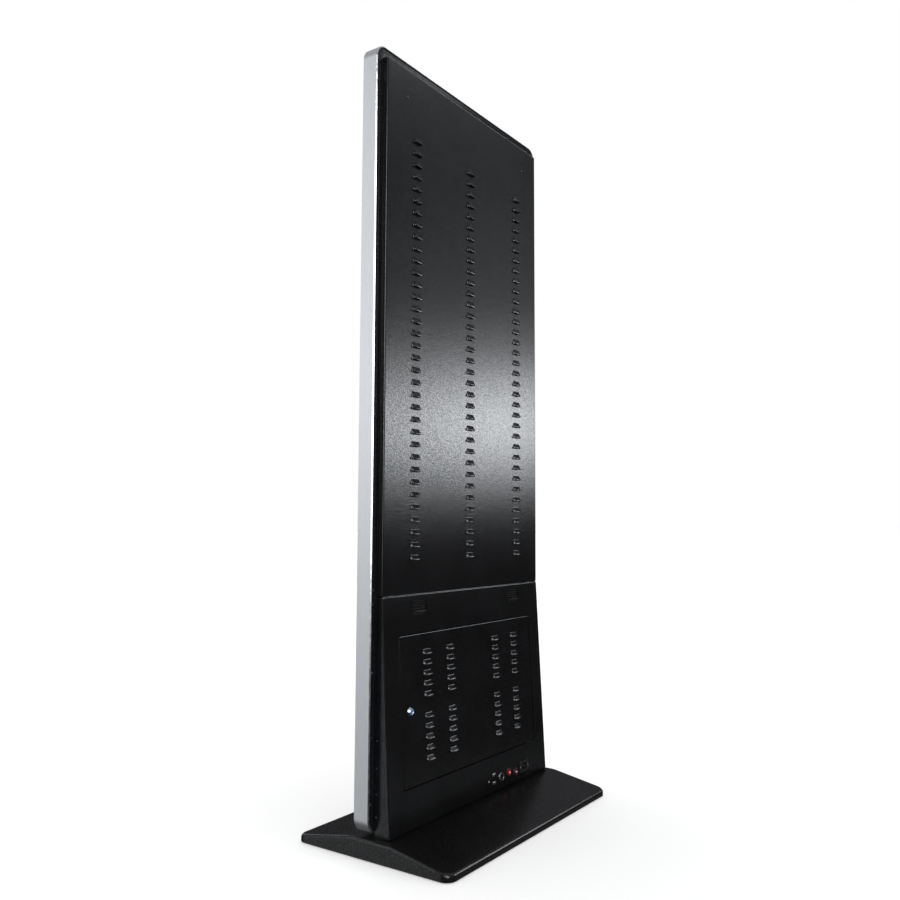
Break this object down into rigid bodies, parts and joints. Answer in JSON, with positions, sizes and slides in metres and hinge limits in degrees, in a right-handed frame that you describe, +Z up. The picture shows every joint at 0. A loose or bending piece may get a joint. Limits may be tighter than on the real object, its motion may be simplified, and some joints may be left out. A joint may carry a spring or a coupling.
{
  "type": "touchscreen kiosk",
  "caption": "Floor-standing portrait touchscreen kiosk: slim glass-fronted body in an aluminium band, louvred steel rear covers, lockable service door, tent-shaped steel base.",
  "frame": {"origin": "on the floor at the centre of the base", "axes": "+Z up; the screen faces -Y; the rear covers and the service door face +Y; +X is to the left of someone who faces the rear covers"},
  "size_m": [0.76, 0.44, 1.903],
  "materials": {
    "black_paint": "fine textured powder coat, satin",
    "anodised": "brushed along its length and clear anodised",
    "plain_steel": "zinc plated",
    "black_screw": "black zinc",
    "plated_sheet": "galvanised sheet",
    "supply_case": "mill finish, folded case",
    "chrome": "polished chrome plate",
    "socket_shell": "bright nickel plate",
    "front_glass": "toughened glass with a printed black border",
    "touch_film": "clear film",
    "display": "dark panel, switched off",
    "rubber": "matt",
    "cable_jacket": "smooth jacket",
    "black_plastic": "moulded, fine grain",
    "circuit_board": "green solder mask",
    "speaker_cone": "coated paper",
    "red_plastic": "moulded, translucent red",
    "nylon": "natural nylon",
    "lamp": "clear lens"
  },
  "bodies": {
    "kiosk": {"base_cover": "black_paint", "chassis_flange": "black_paint", "upper_rear_cover": "black_paint", "lower_rear_cover": "black_paint", "bezel_frame": "anodised", "base_plate": "plain_steel", "upright_left": "plain_steel", "upright_right": "plain_steel", "cross_rail_lower": "plain_steel", "cross_rail_middle": "plain_steel", "cross_rail_upper": "plain_steel", "hinge_bracket_upper": "plain_steel", "hinge_bracket_lower": "plain_steel", "hinge_pin_upper": "plain_steel", "hinge_pin_lower": "plain_steel", "strike_plate": "plain_steel", "speaker_basket_left": "plain_steel", "speaker_basket_right": "plain_steel", "flange_screw_top_left": "black_screw", "flange_screw_top_right": "black_screw", "flange_screw_bottom_left": "black_screw", "flange_screw_bottom_right": "black_screw", "cover_screw_left": "black_screw", "cover_screw_right": "black_screw", "backlight_tray": "plated_sheet", "equipment_plate": "plated_sheet", "power_supply": "supply_case", "network_jack_collar": "chrome", "usb_socket_upper": "socket_shell", "usb_socket_lower": "socket_shell", "front_glass": "front_glass", "touch_sensor": "touch_film", "lcd_panel": "display", "foot_front_left": "rubber", "foot_front_right": "rubber", "foot_rear_left": "rubber", "foot_rear_right": "rubber", "glass_gasket": "rubber", "mains_cable": "cable_jacket", "display_cable": "cable_jacket", "mains_inlet": "black_plastic", "rocker_housing": "black_plastic", "button_collar": "black_plastic", "network_jack": "black_plastic", "media_player": "black_plastic", "display_driver_board": "circuit_board", "touch_controller_board": "circuit_board", "speaker_cone_left": "speaker_cone", "speaker_cone_right": "speaker_cone", "status_light": "lamp"},
    "door": {"service_door": "black_paint", "hinge_bush_upper": "nylon", "hinge_bush_lower": "nylon", "lock_body": "chrome", "lock_nut": "plain_steel"},
    "lock": {"lock_plug": "chrome", "lock_cam": "plain_steel"},
    "button": {"push_button": "red_plastic"},
    "rocker": {"rocker_paddle": "red_plastic"}
  },
  "joints": [
    {"name": "door_hinge", "type": "hinge", "parent": "kiosk", "child": "door", "pos_m": [-0.28, 0.02211, 0.31307], "axis": [0, -0.0551, 0.9985], "range_deg": [0, 110]},
    {"name": "lock_turn", "type": "hinge", "parent": "door", "child": "lock", "pos_m": [0.268, 0.02023, 0.31097], "axis": [0, 0.9985, 0.0551], "range_deg": [0, 90]},
    {"name": "button_press", "type": "slide", "parent": "kiosk", "child": "button", "axis": [0, -0.9985, -0.0551], "range_m": [0, 0.0025]},
    {"name": "rocker_tilt", "type": "hinge", "parent": "kiosk", "child": "rocker", "pos_m": [-0.19, 0.03966, 0.07668], "axis": [1, 0, 0], "range_deg": [0, 16]}
  ]
}
